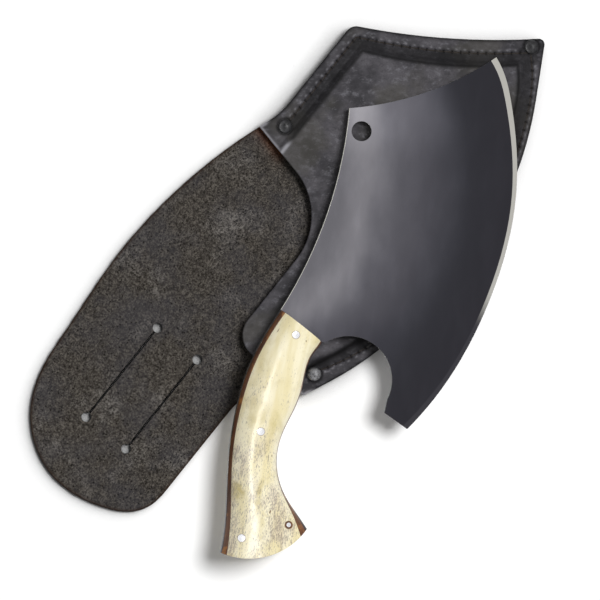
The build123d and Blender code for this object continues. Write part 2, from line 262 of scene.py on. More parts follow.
def ramp(tree, source, *stops, smooth=False):   # stops are (place, colour)
    made = put(tree, "ValToRGB", {"Fac": source})
    elements = made.color_ramp.elements
    while len(elements) < len(stops):
        elements.new(0.5)
    for element, (place, colour) in zip(elements, stops):
        element.position = place
        element.color = colour
    if smooth:
        made.color_ramp.interpolation = "B_SPLINE"
    return made.outputs["Color"]


def span(tree, value, low, high, toLow=0.0, toHigh=1.0):   # value between low and high, as a share
    return put(tree, "MapRange", {
        "Value": value, "From Min": low, "From Max": high, "To Min": toLow, "To Max": toHigh,
    }, interpolation_type="SMOOTHSTEP").outputs["Result"]


def calc(tree, operation, first, second=0.0):
    return put(tree, "Math", {0: first, 1: second}, operation=operation).outputs[0]


def times(tree, first, second):
    return calc(tree, "MULTIPLY", first, second)


def plus(tree, first, second):
    return calc(tree, "ADD", first, second)


def vectors(tree, operation, first, second=(0, 0, 0)):   # for lengths and dot products, a number
    made = put(tree, "VectorMath", {0: first, 1: second}, operation=operation)
    return made.outputs["Value" if operation in ("LENGTH", "DOT_PRODUCT") else "Vector"]


def apart(tree, vector, axis):
    return put(tree, "SeparateXYZ", {"Vector": vector}).outputs[axis]


def blend(tree, share, first, second, how="MIX"):
    made = put(tree, "Mix", {0: share, 6: first, 7: second}, data_type="RGBA", blend_type=how)
    return made.outputs[2]


def painted(tree, name):
    return put(tree, "Attribute", attribute_name=name).outputs["Fac"]


def openness(tree, reach, low, high, facing=None):   # ambient occlusion as a share, 0 deep in a corner, 1 out in the open, for painting shade into a colour
    node = put(tree, "AmbientOcclusion", {"Distance": reach}, samples=6, only_local=not facing)
    if facing:
        towards = put(tree, "CombineXYZ", {"X": facing[0], "Y": facing[1], "Z": facing[2]})
        tree.links.new(towards.outputs["Vector"], node.inputs["Normal"])
    return span(tree, node.outputs["AO"], low, high)


def colourFrom(tree, shader, colour):
    tree.links.new(colour, shader.inputs["Base Color"])


def roughnessFrom(tree, shader, value):
    tree.links.new(value, shader.inputs["Roughness"])


def bumpFrom(tree, shader, height, strength, distance):
    bump = put(tree, "Bump", {"Height": height, "Strength": strength, "Distance": distance})
    tree.links.new(bump.outputs["Normal"], shader.inputs["Normal"])


print("solids loaded, helpers ready")

# materials
# grains are in millimetres; four numbers in brackets are a span: from, to, and what it gives there

steel = {
    "finish": dict(metallic=1.0, roughness=0.2),
    "edgeCentre": (-6.5 * mm, 94.5 * mm, 0),   # the belly of the ground edge is close to a circle
    "edgeRadius": 182.8,
    "paintedReflectionBands": [   # millimetres in from the ground edge, and the tone of the painted reflection there
        (0, tint(48, 47, 52)), (24, tint(48, 48, 53)), (35, tint(63, 63, 69)),
        (48, tint(75, 74, 80)), (60, tint(85, 84, 90)), (68, tint(96, 95, 101)),
        (78, tint(131, 129, 134)), (90, tint(98, 97, 102)),
    ],
    "straying": (15, 50, 2, 14),         # the further in, the more the painted reflection strays
    "streaks": dict(scale=0.05, detail=1, turn=-58, stretch=(1, 4, 1)),
    "clouds": dict(scale=0.03, detail=3),
    "towardsHandle": (-0.78, -0.625, 0),
    "inner": (24, 45),                   # millimetres in, where the next two begin
    "paintedShadeAndLight": [   # millimetres towards the handle, and how much painted shade darkens or painted light brightens the blade there
        ((14, 42), (0.78, 0.78, 0.8, 1)), ((-55, -88), (1.7, 1.7, 1.68, 1)),
    ],
    "bevel": tint(182, 180, 174),
    "bevelEnd": tint(62, 61, 66),        # the painted highlight on the bevel darkens towards the horn
    "bevelFades": (30, 52),
    "innerEdgeHighlight": (15, 30),              # the painted highlight stays on the broken edges of the spine
    # how far a face leans from flat before it takes the painted highlight
    "edgeTilt": (0.975, 0.93),
    "smears": dict(scale=0.12, detail=4, turn=-58, stretch=(1, 3, 1)),
    "smearGloss": (0.3, 0.7, 0.15, 0.24),
}


def makeSteel():
    material, tree, shader = newMaterial("polishedSteel", **steel["finish"])
    own = millimetres(tree)
    fromCentre = vectors(tree, "MULTIPLY", millimetres(tree, start=steel["edgeCentre"]), (1, 1, 0))
    depth = calc(tree, "SUBTRACT", steel["edgeRadius"], vectors(tree, "LENGTH", fromCentre))
    stray = plus(tree, grain(tree, **steel["streaks"]), grain(tree, **steel["clouds"]))
    stray = times(tree, calc(tree, "SUBTRACT", stray, 1.0), span(tree, depth, *steel["straying"]))
    reach = steel["paintedReflectionBands"][-1][0]
    stops = [(place / reach, tone) for place, tone in steel["paintedReflectionBands"]]
    # painted reflection: the blade's colour runs dark along the ground edge and light towards the
    # spine
    face = ramp(tree, calc(tree, "DIVIDE", plus(tree, depth, stray), reach), *stops, smooth=True)
    down = vectors(tree, "DOT_PRODUCT", own, steel["towardsHandle"])
    inner = span(tree, depth, *steel["inner"])
    # painted shade near the handle and painted light further from it, inside the ground edge
    for place, tone in steel["paintedShadeAndLight"]:
        share = times(tree, span(tree, down, *place), inner)
        face = blend(tree, share, face, blend(tree, 1.0, face, tone, "MULTIPLY"))
    # painted highlight: faces that lean away from flat, the bevels and broken edges, take a light
    # colour that darkens towards the horn
    upright = calc(tree, "ABSOLUTE", apart(tree, put(tree, "NewGeometry").outputs["Normal"], "Z"))
    fading = span(tree, apart(tree, own, "X"), *steel["bevelFades"])
    light = calc(tree, "MAXIMUM", fading, span(tree, depth, *steel["innerEdgeHighlight"]))
    bevel = blend(tree, light, steel["bevelEnd"], steel["bevel"])
    colourFrom(tree, shader, blend(tree, span(tree, upright, *steel["edgeTilt"]), face, bevel))
    roughnessFrom(tree, shader, span(tree, grain(tree, **steel["smears"]), *steel["smearGloss"]))
    return material


bone = {
    "finish": dict(roughness=0.34, specular=0.45, coat=0.2, coatRoughness=0.2),
    "pale": tint(242, 234, 204),
    "cream": tint(229, 217, 173),
    "streaks": dict(scale=0.16, detail=3, turn=28, stretch=(7, 1, 1)),   # all run along the grip
    "streakSpan": (0.35, 0.65),
    "heel": (-52, -118),       # millimetres along, from the clean front to the crowded heel
    "stain": tint(186, 169, 104),
    "stains": dict(scale=0.05, detail=5, roughness=0.6, distortion=0.6, start=(0.011, 0.004, 0)),
    "stainSpan": (0.46, 0.68),
    "stainHeel": (0, 1, 0.4, 0.75),
    "crowds": dict(scale=0.1, detail=3, turn=28, start=(0.03, 0.02, 0), stretch=(2, 1, 1)),
    "crowding": 0.34,          # how strongly the pores gather in clusters
    "heelCrowding": 0.1,       # and towards the heel
    "haze": tint(196, 182, 168),
    "hazeSpan": (0.45, 0.7, 0, 0.5),
    "pore": tint(112, 98, 98),
    "poreShare": 0.62,
    "pores": [   # two sizes
        (dict(scale=1.9, detail=3, roughness=0.7, turn=28, stretch=(3.2, 1, 1)), (0.78, 0.90)),
        (dict(scale=0.9, detail=3, roughness=0.7, turn=28, stretch=(3.6, 1, 1)), (0.84, 0.94)),
    ],
    "brown": tint(98, 66, 30),
    "spots": dict(scale=0.22, detail=1, turn=28, stretch=(1.6, 1, 1)),
    "spotSpan": (0.76, 0.8, 0, 0.8),
    "ring": (2.4, 2.1, 0, 0.75),   # a dark ring round each pin, millimetres from a pin's middle
    "bump": (0.2, 0.1 * mm),   # strength and depth
}
knifeUp = tuple(max(nodes["liner_upper"].data.polygons, key=lambda face: face.area).normal)


def makeBone():
    material, tree, shader = newMaterial("polishedBone", **bone["finish"])
    heel = span(tree, apart(tree, millimetres(tree), "X"), *bone["heel"])
    streaks = span(tree, grain(tree, **bone["streaks"]), *bone["streakSpan"])
    body = blend(tree, streaks, bone["pale"], bone["cream"])
    stains = span(tree, grain(tree, **bone["stains"]), *bone["stainSpan"])
    stains = times(tree, stains, span(tree, heel, *bone["stainHeel"]))
    body = blend(tree, stains, body, bone["stain"])
    crowds = grain(tree, **bone["crowds"])
    haze = times(tree, span(tree, crowds, *bone["hazeSpan"]), heel)
    body = blend(tree, haze, body, bone["haze"])
    crowding = times(tree, crowds, bone["crowding"])
    crowding = plus(tree, crowding, times(tree, heel, bone["heelCrowding"]))
    sizes = [
        span(tree, plus(tree, grain(tree, **size), crowding), *place)
        for size, place in bone["pores"]
    ]
    pores = calc(tree, "MAXIMUM", *sizes)
    body = blend(tree, times(tree, pores, bone["poreShare"]), body, bone["pore"])
    spots = span(tree, grain(tree, **bone["spots"]), *bone["spotSpan"])
    body = blend(tree, spots, body, bone["brown"])
    for pin in ("pin_front", "pin_middle", "pin_butt", "pin_heel"):
        fromPin = millimetres(tree, start=middleOf(pin))
        away = vectors(tree, "LENGTH", vectors(tree, "CROSS_PRODUCT", fromPin, knifeUp))
        body = blend(tree, span(tree, away, *bone["ring"]), body, bone["brown"])
    colourFrom(tree, shader, body)
    bumpFrom(tree, shader, calc(tree, "SUBTRACT", 1.0, pores), *bone["bump"])
    return material


fibre = {
    "finish": dict(roughness=0.35, specular=0.35),
    "dark": tint(62, 34, 18),
    "brown": tint(102, 62, 32),
    "amber": tint(160, 104, 44),
    "layers": dict(scale=0.35, detail=4, turn=28, stretch=(6, 1, 1)),
    "flecks": dict(scale=0.16, detail=3),
    "fleckSpan": (0.55, 0.68, 0, 0.8),
    "bump": (0.15, 0.1 * mm),
}


def makeFibre():
    material, tree, shader = newMaterial("brownFibre", **fibre["finish"])
    layers = grain(tree, **fibre["layers"])
    flecks = span(tree, grain(tree, **fibre["flecks"]), *fibre["fleckSpan"])
    body = ramp(tree, layers, (0.3, fibre["dark"]), (0.6, fibre["brown"]))
    colourFrom(tree, shader, blend(tree, flecks, body, fibre["amber"]))
    bumpFrom(tree, shader, layers, *fibre["bump"])
    return material


pins = {
    "finish": dict(metallic=1.0, roughness=0.2),
    "dull": tint(205, 206, 210),
    "bright": tint(242, 242, 245),
    "marks": dict(scale=2.0, detail=2, stretch=(6, 0.4, 1)),
    "gloss": (0.2, 0.8, 0.16, 0.3),
}


def makePinMetal():
    material, tree, shader = newMaterial("pinMetal", **pins["finish"])
    marks = grain(tree, **pins["marks"])
    colourFrom(tree, shader, ramp(tree, marks, (0.3, pins["dull"]), (0.7, pins["bright"])))
    roughnessFrom(tree, shader, span(tree, marks, *pins["gloss"]))
    return material


flesh = {   # the rough side of the leather
    "finish": dict(roughness=0.95, specular=0.02),
    "dark": tint(26, 24, 21),
    "middle": tint(61, 57, 53),
    "light": tint(104, 99, 92),
    "fineNap": dict(scale=1.1, detail=5, roughness=0.85),
    "broadNap": dict(scale=0.4, detail=4, roughness=0.7),
    "fineShare": 0.82,
    "blue": tint(62, 62, 68),
    "clouds": dict(scale=0.03, detail=4, roughness=0.6),
    "cloudSpan": (0.4, 0.65, 0, 0.4),
    "rubbed": tint(134, 130, 126),
    "rubbing": dict(scale=0.04, detail=4, roughness=0.65, start=(0.05, 0.01, 0)),
    "rubbedSpan": (0.5, 0.68, 0, 0.55),
    "rubbedNap": (0.44, 0.6),
    "speck": tint(20, 18, 16),
    "speckCells": 0.62,
    "speckEdge": (0.36, 0.2, 0, 0.8),
    "fewer": 0.75,             # from 0 to 1.4, the higher the fewer dark specks
    "gathering": dict(scale=0.03, detail=2, start=(0.02, 0.03, 0)),
    "gathered": 0.4,
    "cuts": dict(scale=0.16, detail=2, turn=20, stretch=(3, 0.8, 1)),
    "cutSpan": (0.78, 0.82, 0, 0.8),
    "rust": tint(140, 76, 34),
    "rustNap": (0.4, 0.6, 0.3, 0.9),
    "rim": tint(46, 30, 20),
    "rimShare": 0.8,
    # painted shade: the near black that the leather darkens to where it is hemmed in
    "corner": tint(14, 12, 11),
    "cornerShadeReach": 7 * mm,
    "cornerShadeSpan": (0.52, 0.86),
    "bump": (0.6, 0.4 * mm),
}


def makeFlesh():
    material, tree, shader = newMaterial("fleshLeather", **flesh["finish"])
    nap = plus(
        tree, times(tree, grain(tree, **flesh["fineNap"]), flesh["fineShare"]),
        times(tree, grain(tree, **flesh["broadNap"]), 1 - flesh["fineShare"]),
    )
    body = ramp(tree, nap, (0.39, flesh["dark"]), (0.5, flesh["middle"]), (0.6, flesh["light"]))
    clouds = span(tree, grain(tree, **flesh["clouds"]), *flesh["cloudSpan"])
    body = blend(tree, clouds, body, flesh["blue"])
    rubbed = span(tree, grain(tree, **flesh["rubbing"]), *flesh["rubbedSpan"])
    rubbed = times(tree, rubbed, span(tree, nap, *flesh["rubbedNap"]))
    body = blend(tree, rubbed, body, flesh["rubbed"])
    cells = put(tree, "TexVoronoi", {"Vector": millimetres(tree), "Scale": flesh["speckCells"]})
    gathered = times(tree, grain(tree, **flesh["gathering"]), flesh["gathered"])
    chosen = plus(tree, apart(tree, cells.outputs["Color"], "X"), gathered)
    chosen = span(tree, chosen, flesh["fewer"], flesh["fewer"] + 0.1)
    specks = times(tree, span(tree, cells.outputs["Distance"], *flesh["speckEdge"]), chosen)
    body = blend(tree, specks, body, flesh["speck"])
    cuts = span(tree, grain(tree, **flesh["cuts"]), *flesh["cutSpan"])
    body = blend(tree, cuts, body, flesh["speck"])
    rust = times(tree, painted(tree, "rust"), span(tree, nap, *flesh["rustNap"]))
    body = blend(tree, rust, body, flesh["rust"])
    rim = times(tree, painted(tree, "rim"), flesh["rimShare"])
    body = blend(tree, rim, body, flesh["rim"])
    # painted shade: ambient occlusion darkens the nap towards near black in hollows and corners
    unshaded = openness(tree, flesh["cornerShadeReach"], *flesh["cornerShadeSpan"])
    colourFrom(tree, shader, blend(tree, unshaded, flesh["corner"], body))
    bumpFrom(tree, shader, nap, *flesh["bump"])
    return material


hide = {   # the smooth side of the leather
    "finish": dict(roughness=0.42, specular=0.045),
    "plain": tint(84, 82, 86),
    "dark": tint(52, 51, 54),
    "light": tint(122, 121, 127),
    # the colour of the painted highlights on the puckers and the mouth's lip
    "worn": tint(146, 145, 150),
    "olive": tint(68, 66, 60),
    "black": tint(10, 10, 10),
    "clouds": dict(scale=0.06, detail=4, roughness=0.6),
    "cloudSpan": (0.32, 0.66),
    "mottle": dict(scale=0.32, detail=5, roughness=0.75, turn=-50, stretch=(1.5, 1, 1)),
    "fine": dict(scale=1.4, detail=5, roughness=0.7),
    "broad": dict(scale=0.03, detail=3, start=(0.04, 0.02, 0)),
    "layers": [   # each grain in turn tints the leather
        ("mottle", (0.5, 0.68, 0, 0.45), "light"),
        ("mottle", (0.48, 0.32, 0, 0.6), "dark"),
        ("fine", (0.5, 0.32, 0, 0.5), "dark"),
        ("broad", (0.5, 0.66, 0, 0.5), "olive"),
    ],
    "highlightSpan": (0, 1, 0, 0.9),
    "rimShare": 0.8,
    "cornerShadeReach": 7 * mm,
    "cornerShadeSpan": (0.55, 0.86),
    "gloss": (0.3, 0.7, 0.5, 0.36),
    "mottleHeight": 1.5,
    "bump": (0.45, 0.2 * mm),
}


def makeHide():
    material, tree, shader = newMaterial("grainLeather", **hide["finish"])
    grains = {name: grain(tree, **hide[name]) for name in ("mottle", "fine", "broad")}
    clouds = span(tree, grain(tree, **hide["clouds"]), *hide["cloudSpan"])
    body = blend(tree, clouds, hide["dark"], hide["plain"])
    for name, place, tone in hide["layers"]:
        body = blend(tree, span(tree, grains[name], *place), body, hide[tone])
    shade = painted(tree, "shade")         # from -1, painted shade in the hollows, to 1, painted highlight on the puckers and the mouth's lip
    body = blend(tree, span(tree, shade, *hide["highlightSpan"]), body, hide["worn"])
    # painted shade: hollows, creases, stitch holes and the rings round the rivets go towards black
    body = blend(tree, times(tree, shade, -1.0), body, hide["black"])
    rim = times(tree, painted(tree, "rim"), hide["rimShare"])
    body = blend(tree, rim, body, hide["black"])
    # painted shade: ambient occlusion darkens the leather towards black in hollows and corners
    unshaded = openness(tree, hide["cornerShadeReach"], *hide["cornerShadeSpan"])
    colourFrom(tree, shader, blend(tree, unshaded, hide["black"], body))
    roughnessFrom(tree, shader, span(tree, grains["mottle"], *hide["gloss"]))
    pebble = plus(tree, grains["fine"], times(tree, grains["mottle"], hide["mottleHeight"]))
    bumpFrom(tree, shader, pebble, *hide["bump"])
    return material


waxed = {
    "finish": dict(roughness=0.6, specular=0.3),
    "twist": 1.2,
    "tangle": 1.0,
    "dark": tint(18, 15, 13),
    "light": tint(42, 34, 27),
}


def makeThread():
    material, tree, shader = newMaterial("waxedThread", **waxed["finish"])
    twist = put(tree, "TexWave", {
        "Vector": millimetres(tree), "Scale": waxed["twist"], "Distortion": waxed["tangle"],
    }).outputs["Fac"]
    colourFrom(tree, shader, ramp(tree, twist, (0.2, waxed["dark"]), (0.8, waxed["light"])))
    return material


rivetMetal = {
    "wear": dict(scale=0.8, detail=4),
    "gloss": (0.3, 0.7, 0.25, 0.5),
    "black": (0.0, tint(24, 24, 25), tint(44, 44, 46)),      # metallic, dark tone, light tone
    "worn": (0.8, tint(88, 88, 90), tint(136, 136, 138)),
}


def makeRivetMetal(kind):
    metallic, dark, light = rivetMetal[kind]
    material, tree, shader = newMaterial(kind + "Rivet", metallic, roughness=0.3, specular=0.2)
    wear = grain(tree, **rivetMetal["wear"])
    colourFrom(tree, shader, ramp(tree, wear, (0.35, dark), (0.7, light)))
    roughnessFrom(tree, shader, span(tree, wear, *rivetMetal["gloss"]))
    return material


polishedSteel = makeSteel()
polishedBone = makeBone()
brownFibre = makeFibre()
pinMetal = makePinMetal()
fleshLeather = makeFlesh()
grainLeather = makeHide()
waxedThread = makeThread()
blackRivet = makeRivetMetal("black")
wornRivet = makeRivetMetal("worn")

asPacked = [   # solids that show as they are, with a finished surface
    (polishedBone, "scale_upper", "scale_lower"),
    (brownFibre, "liner_upper", "liner_lower", "pin_heel_collar"),
    (pinMetal, "pin_front", "pin_middle", "pin_butt", "pin_heel"),
    (blackRivet, "rivet_post_mouth", "rivet_post_point", "rivet_post_horn"),
]
for material, *nodeNames in asPacked:
    for nodeName in nodeNames:
        nodes[nodeName].data.materials.clear()
        nodes[nodeName].data.materials.append(material)
print("materials made")

# the blade, with every edge broken a little so that it catches the light

bladeEdge = {
    "width": 0.45 * mm,
    "steps": 2,
    "sharpest": 25.0,          # degrees from which an edge is broken
    "flatness": 0.985,         # faces that lie flatter than this keep their plain flat shading
}


def makeBlade():
    piece = objectFrom(solidShape("blade"), "knifeBlade")
    edge = piece.modifiers.new("edge", "BEVEL")
    edge.width = bladeEdge["width"]
    edge.segments = bladeEdge["steps"]
    edge.limit_method = "ANGLE"
    edge.angle_limit = math.radians(bladeEdge["sharpest"])
    bakeModifiers(piece)
    finishPiece(piece, "knife", polishedSteel, "blade")
    piece.data.set_sharp_from_angle(angle=math.radians(bladeEdge["sharpest"]))
    for face in piece.data.polygons:
        face.use_smooth = abs(face.normal.z) < bladeEdge["flatness"]


makeBlade()
print("blade made")

# the back of the sheath, with its belt tongue

backPanel = {
    "voxel": 1.0 * mm,
    "smoothing": 3,
    "rimWidth": 1.1 * mm,
    "rustLength": 48 * mm,     # how far it follows the mouth from the rivet
    "rustReach": 1.9 * mm,     # brown left by wear along the mouth
    "slitAbove": 1.2 * mm,     # the knife cut gapes a little on top
    "slitBelow": 0.12 * mm,
    "cutPast": 0.2 * mm,       # how far the cuts reach past both faces
    "holeSteps": 36,
}


def roundRing(x, y, radius, steps):
    turns = [2 * math.pi * step / steps for step in range(steps)]
    return [(x + radius * math.cos(turn), y + radius * math.sin(turn)) for turn in turns]


def prism(lowRing, highRing, low, high):   # a closed block between two levels
    shape = bmesh.new()
    lower = [shape.verts.new((x, y, low)) for x, y in lowRing]
    upper = [shape.verts.new((x, y, high)) for x, y in highRing]
    shape.faces.new(lower[::-1])
    shape.faces.new(upper)
    joinRings(shape, lower, upper)
    return shape


def slitCutters():   # round stop holes with a knife cut between them, all right through
    top = topOf("back_panel")
    past = backPanel["cutPast"]
    cutters = []
    for loop in loopsAt("back_panel", top)[1:3]:
        x, y, _ = (loop.max(axis=0) + loop.min(axis=0)) / 2
        radius = (loop[:, 1].max() - loop[:, 1].min()) / 2
        reach = loop[:, 0].max() - x - radius
        for end in (x - reach, x + reach):
            hole = roundRing(end, y, radius, backPanel["holeSteps"])
            cutters.append(prism(hole, hole, -past, top + past))
        left, right = x - reach, x + reach
        above, below = (
            [(left, y - half), (right, y - half), (right, y + half), (left, y + half)]
            for half in (backPanel["slitAbove"] / 2, backPanel["slitBelow"] / 2)
        )
        cutters.append(prism(below, above, -past, top + past))
    return [objectFrom(shape, "slitCutter") for shape in cutters]


def makeBackPanel():
    high = topOf("back_panel")
    outline = loopsAt("back_panel", high)[0]
    ring = [(x, y) for x, y, _ in outline]
    piece = objectFrom(prism(ring, ring, 0.0, high), "sheathBack")
    voxelSkin(piece, backPanel["voxel"], backPanel["smoothing"])
    for cutter in slitCutters():
        cut = piece.modifiers.new("cut", "BOOLEAN")
        cut.operation = "DIFFERENCE"
        cut.solver = "EXACT"
        cut.object = cutter
        bakeModifiers(piece)
        bpy.data.objects.remove(cutter)
    points = readPoints(piece.data)
    inward = nearestOn(outline, points, closed=True)[0]
    paint(piece.data, "rim", hill(inward, backPanel["rimWidth"]))
    mouth = loopsAt("front_panel", bottomOf("front_panel"))[0]
    toMouth = nearestOn(mouth, points, closed=True)[0]
    toCap = distanceTo("rivet_cap_mouth", points)
    rust = np.exp(-toMouth / backPanel["rustReach"]) * hill(toCap, backPanel["rustLength"])
    paint(piece.data, "rust", rust * (points[:, 2] > high / 2))
    finishPiece(piece, "sheath", fleshLeather, "back_panel")


makeBackPanel()
print("sheath back made")

# the strip between the two panels, seen along the pouch's edge

welt = {"voxel": 0.8 * mm, "smoothing": 2, "rimWidth": 1.1 * mm}


def makeWelt():
    piece = objectFrom(solidShape("welt"), "pouchWelt")
    voxelSkin(piece, welt["voxel"], welt["smoothing"])
    outline = loopsAt("welt", topOf("welt"))[0]
    inward = nearestOn(outline, readPoints(piece.data), closed=True)[0]
    paint(piece.data, "rim", hill(inward, welt["rimWidth"]))
    finishPiece(piece, "sheath", fleshLeather, "welt")


makeWelt()
print("welt made")

# the formed front of the pouch, pulled in along its stitches and pressed in under its rivets

thread = {
    "pitch": 4.5 * mm,
    "radius": 0.34 * mm,
    "sink": 0.9 * mm,          # how far a stitch dives at its ends
    "taper": 0.35,             # its thickness there, as a share
    "steps": 8,                # along a stitch
    "sides": 8,                # round it
    "frontLevel": -0.5 * mm,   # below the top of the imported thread
    "backLevel": 0.45 * mm,    # above the underside
}
rivetEnds = ("mouth", "point", "horn")
frontPanel = {
    "voxel": 0.55 * mm,
    "smoothing": 6,
    "flange": -0.3 * mm,       # the leather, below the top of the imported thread
    "flangeBand": (-1.2 * mm, 0.8 * mm),
    "groove": 0.5 * mm,        # how deep the thread pulls the leather in
    "grooveWidth": 0.75 * mm,
    "grooveShare": 0.6,
    "holeWidth": 1.0 * mm,
    "holeShare": 0.8,
    "ridge": 0.45 * mm,        # the swelling outside the stitches
    "ridgeOut": 2.9 * mm,
    "ridgeWidth": 1.7 * mm,
    "pucker": 0.6,             # gathers between the stitches, as a share of the ridge
    "puckerOut": 1.5 * mm,
    "puckerWidth": 0.65 * mm,
    # how bright the painted glints on the gathers are
    "puckerHighlight": 0.5,
    # how dark the painted shade in the stitch groove is
    "grooveShade": 0.45,
    "valleyShade": 0.68,            # how dark the painted shade on the band inside the stitches is
    "valleyIn": 3.2 * mm,
    "valleyWidth": 3.4 * mm,
    "creaseShade": 0.4,             # how dark the painted shade at the foot of the raised part is
    "creaseIn": 6.4 * mm,
    "creaseWidth": 1.1 * mm,
    "capRing": 4.3 * mm,       # where painted shade darkens the leather round the rivets
    "capRingWidth": 0.8 * mm,
    "capRingShade": 0.8,
    "capFlat": 4.5 * mm,       # and how far it is pressed flat round them
    "rimWidth": 1.2 * mm,
    "lipHighlight": 1.0,           # how bright the painted highlight on the mouth's lip is
    "lipStart": 9 * mm,        # the lip is this far from the stitches
    "lipRun": 4 * mm,
    "lineSteps": 200,
}


def stitchLines():   # the middle of each run of thread, from rivet to rivet
    caps = [np.array(middleOf("rivet_cap_" + end))[:2] for end in rivetEnds]
    lines = []
    for loop in loopsAt("stitching_front", topOf("stitching_front"))[:2]:
        gaps = [np.linalg.norm(loop[:, :2] - cap, axis=1) for cap in caps]
        nearest = sorted(gaps, key=np.min)[:2]
        first, last = sorted(int(gap.argmin()) for gap in nearest)
        one = evenly(loop[first:last + 1], frontPanel["lineSteps"])
        other = evenly(np.vstack([loop[last:], loop[:first + 1]])[::-1], frontPanel["lineSteps"])
        lines.append((one + other) / 2)
    return lines


def stitchCount(run):
    return round(lengthOf(run) / thread["pitch"])


runs = stitchLines()


def makeFrontPanel():
    form = frontPanel
    piece = objectFrom(solidShape("front_panel"), "pouchFront")
    voxelSkin(piece, form["voxel"], form["smoothing"])
    points = readPoints(piece.data)
    above = points[:, 2] - topOf("stitching_front") - form["flange"]
    middle = np.array(middleOf("front_panel"))
    upper = above > form["flangeBand"][0]
    flat = upper & (above < form["flangeBand"][1])
    lift, light, dark = (np.zeros(len(points)) for _ in range(3))
    reach = []
    for run in runs:
        distance, along, side = nearestOn(run, points)
        outward = distance * side * -nearestOn(run, middle[None])[2][0]
        beat = 0.5 + 0.5 * np.cos(2 * math.pi * stitchCount(run) * along / lengthOf(run))
        reach.append(distance)
        groove = hill(distance, form["grooveWidth"])
        holes = hill(distance, form["holeWidth"], 4) * beat ** 4      # where the thread dives
        swell = hill(outward - form["ridgeOut"], form["ridgeWidth"])
        pucker = hill(outward - form["puckerOut"], form["puckerWidth"]) * (1 - beat) ** 2
        lift += flat * (swell + form["pucker"] * pucker) * form["ridge"]
        pull = groove * form["grooveShare"] + holes * form["holeShare"]
        lift -= upper * pull * form["groove"]
        # painted highlight: glints on the gathers between the stitches
        light = np.maximum(light, form["puckerHighlight"] * pucker)
        valleyShade = form["valleyShade"] * hill(outward + form["valleyIn"], form["valleyWidth"], 6)
        creaseShade = form["creaseShade"] * hill(outward + form["creaseIn"], form["creaseWidth"])
        # painted shade: the band inside the stitches, the foot of the raised part, the stitch
        # groove and the stitch holes
        dark = np.maximum.reduce([dark, valleyShade, creaseShade, form["grooveShade"] * groove, holes])
    for end in rivetEnds:
        fromCap = distanceTo("rivet_cap_" + end, points)
        ring = hill(fromCap - form["capRing"], form["capRingWidth"]) * upper
        # painted shade in a ring round each rivet
        dark = np.maximum(dark, form["capRingShade"] * ring)
        lift *= 1 - hill(fromCap, form["capFlat"], 4)
    points[:, 2] += lift
    writePoints(piece.data, points)
    outline = loopsAt("front_panel", bottomOf("front_panel"))[0]
    edge = hill(nearestOn(outline, points, closed=True)[0], form["rimWidth"])
    lip = np.clip((np.minimum(*reach) - form["lipStart"]) / form["lipRun"], 0, 1)
    # painted highlight along the mouth's lip, away from the stitches
    light = np.maximum(light, form["lipHighlight"] * edge * lip)
    paint(piece.data, "rim", edge * (1 - lip))
    # positive for painted highlights, negative for painted shade
    paint(piece.data, "shade", np.clip(light * (1 - dark) - dark, -1, 1))
    finishPiece(piece, "sheath", grainLeather, "front_panel")


makeFrontPanel()
print("pouch front made")

# thread and rivets


def tube(shape, path, radius, sides, taper):   # a closed round strand, thinner at its ends
    rings = []
    last = len(path) - 1
    for index, point in enumerate(path):
        ahead = Vector(path[min(index + 1, last)]) - Vector(path[max(index - 1, 0)])
        ahead.normalize()
        across = ahead.cross(Vector((0, 0, 1))).normalized()
        up = across.cross(ahead)
        full = math.sqrt(max(0.0, 1 - (2 * index / last - 1) ** 4))
        size = radius * (taper + (1 - taper) * full)
        rings.append([
            shape.verts.new(Vector(point) + across * x + up * y)
            for x, y in roundRing(0, 0, size, sides)
        ])
    for one, two in zip(rings, rings[1:]):
        joinRings(shape, one, two)
    shape.faces.new(rings[0])
    shape.faces.new(rings[-1][::-1])


def makeStitches(name, level, upward, nodeName):
    shape = bmesh.new()
    steps = thread["steps"]
    for run in runs:
        line = evenly(run, stitchCount(run) * steps + 1)
        for start in range(0, len(line) - 1, steps):
            part = line[start:start + steps + 1].copy()
            dive = 1 - np.sin(np.linspace(0.05, 0.95, len(part)) * math.pi) ** 0.5
            part[:, 2] = level - upward * thread["sink"] * dive
            tube(shape, part, thread["radius"], thread["sides"], thread["taper"])
    piece = objectFrom(shape, name)
    finishPiece(piece, "sheath", waxedThread, nodeName)


frontLevel = topOf("stitching_front") + thread["frontLevel"]
makeStitches("frontStitches", frontLevel, 1, "stitching_front")
makeStitches("backStitches", thread["backLevel"], -1, "stitching_back")

rivet = {
    "steps": 48,
    "profile": [   # distance out and height, as shares of the head's radius and height
        (0.02, 0.84), (0.14, 0.85), (0.24, 0.90), (0.32, 0.97), (0.5, 1.0), (0.7, 0.97),
        (0.84, 0.88), (0.93, 0.70), (0.985, 0.40), (1.0, 0.0),
    ],
}


def makeRivetCap(end, material):
    nodeName = "rivet_cap_" + end
    low, high = (Vector(corner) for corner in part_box(nodeName))
    centre = (low + high) / 2
    radius = (high.x - low.x) / 2
    shape = bmesh.new()
    rings = []
    for out, up in rivet["profile"]:
        level = low.z + up * (high.z - low.z)
        around = roundRing(centre.x, centre.y, radius * out, rivet["steps"])
        rings.append([shape.verts.new((x, y, level)) for x, y in around])
    for one, two in zip(rings, rings[1:]):
        joinRings(shape, one, two)
    shape.faces.new(rings[0])
    shape.faces.new(rings[-1][::-1])
    piece = objectFrom(shape, "rivetCap" + end.title())
    finishPiece(piece, "sheath", material, nodeName)


makeRivetCap("mouth", blackRivet)
makeRivetCap("point", blackRivet)
makeRivetCap("horn", wornRivet)
print("stitches and rivets made")

# floor, light and camera

